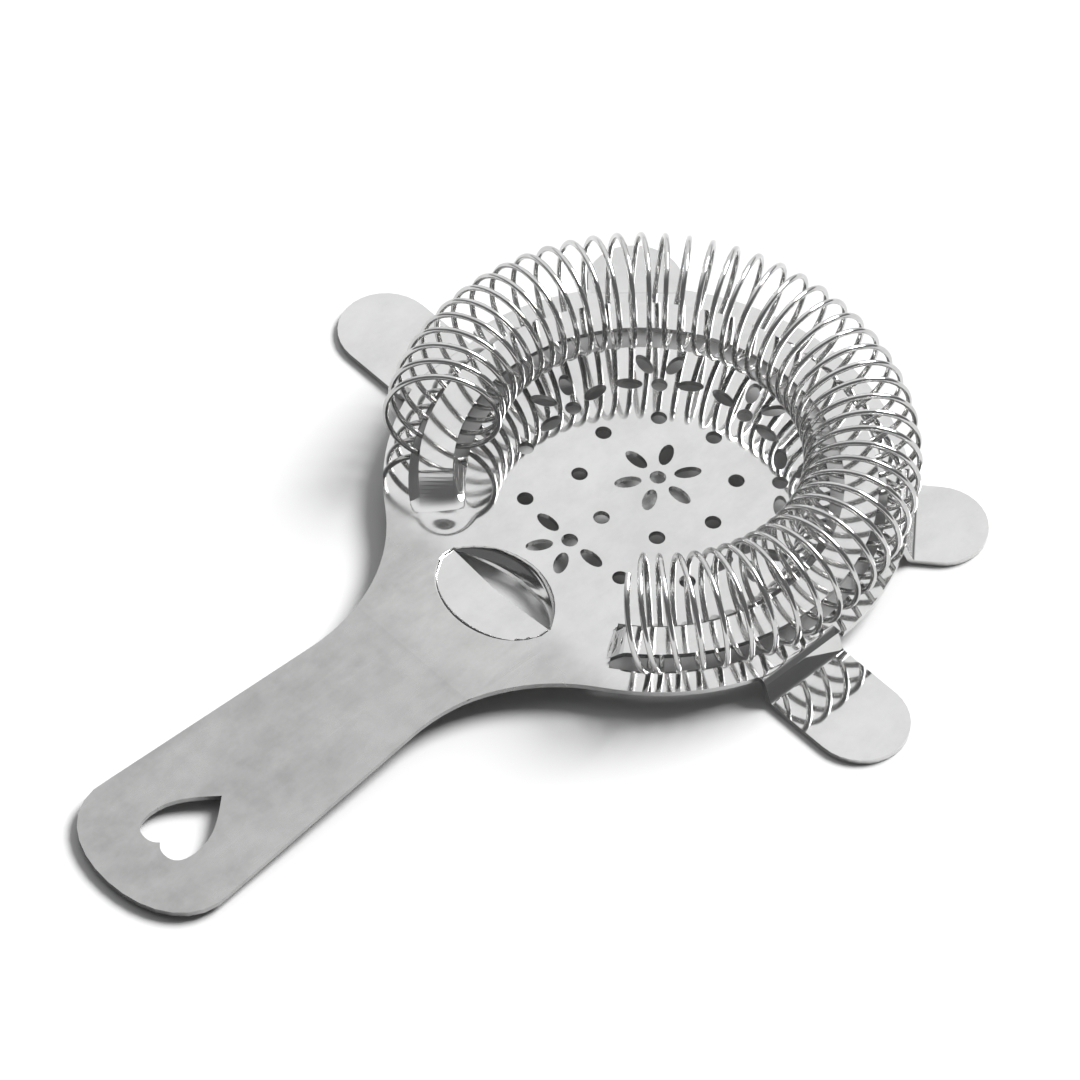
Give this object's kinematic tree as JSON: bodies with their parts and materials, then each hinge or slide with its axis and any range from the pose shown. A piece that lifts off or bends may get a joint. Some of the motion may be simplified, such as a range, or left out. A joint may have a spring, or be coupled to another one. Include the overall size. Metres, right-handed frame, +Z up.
{
  "type": "hawthorne strainer",
  "caption": "Bar strainer: round perforated steel plate with rim prongs, a finger tab and a flat handle with a heart-shaped hanging hole, fitted with a coil spring threaded round its edge.",
  "frame": {"origin": "bottom centre of the bounding box, level with the undersides of the prong pads", "axes": "+X from the handle towards the front of the plate, +Z up out of the spring side, +Y to the left looking along +X"},
  "size_m": [0.164, 0.1296, 0.0239],
  "materials": {
    "plate_steel": "satin stainless sheet, brighter on the formed edges",
    "spring_steel": "bright drawn stainless wire"
  },
  "bodies": {
    "plate": {"strainer_plate": "plate_steel"},
    "spring": {"coil_spring": "spring_steel"}
  },
  "joints": [
    {"name": "spring_creep", "type": "hinge", "parent": "plate", "child": "spring", "pos_m": [0.03711, 0, 0.01405], "axis": [0, 0, 1], "range_deg": [-4, 0.5]}
  ]
}
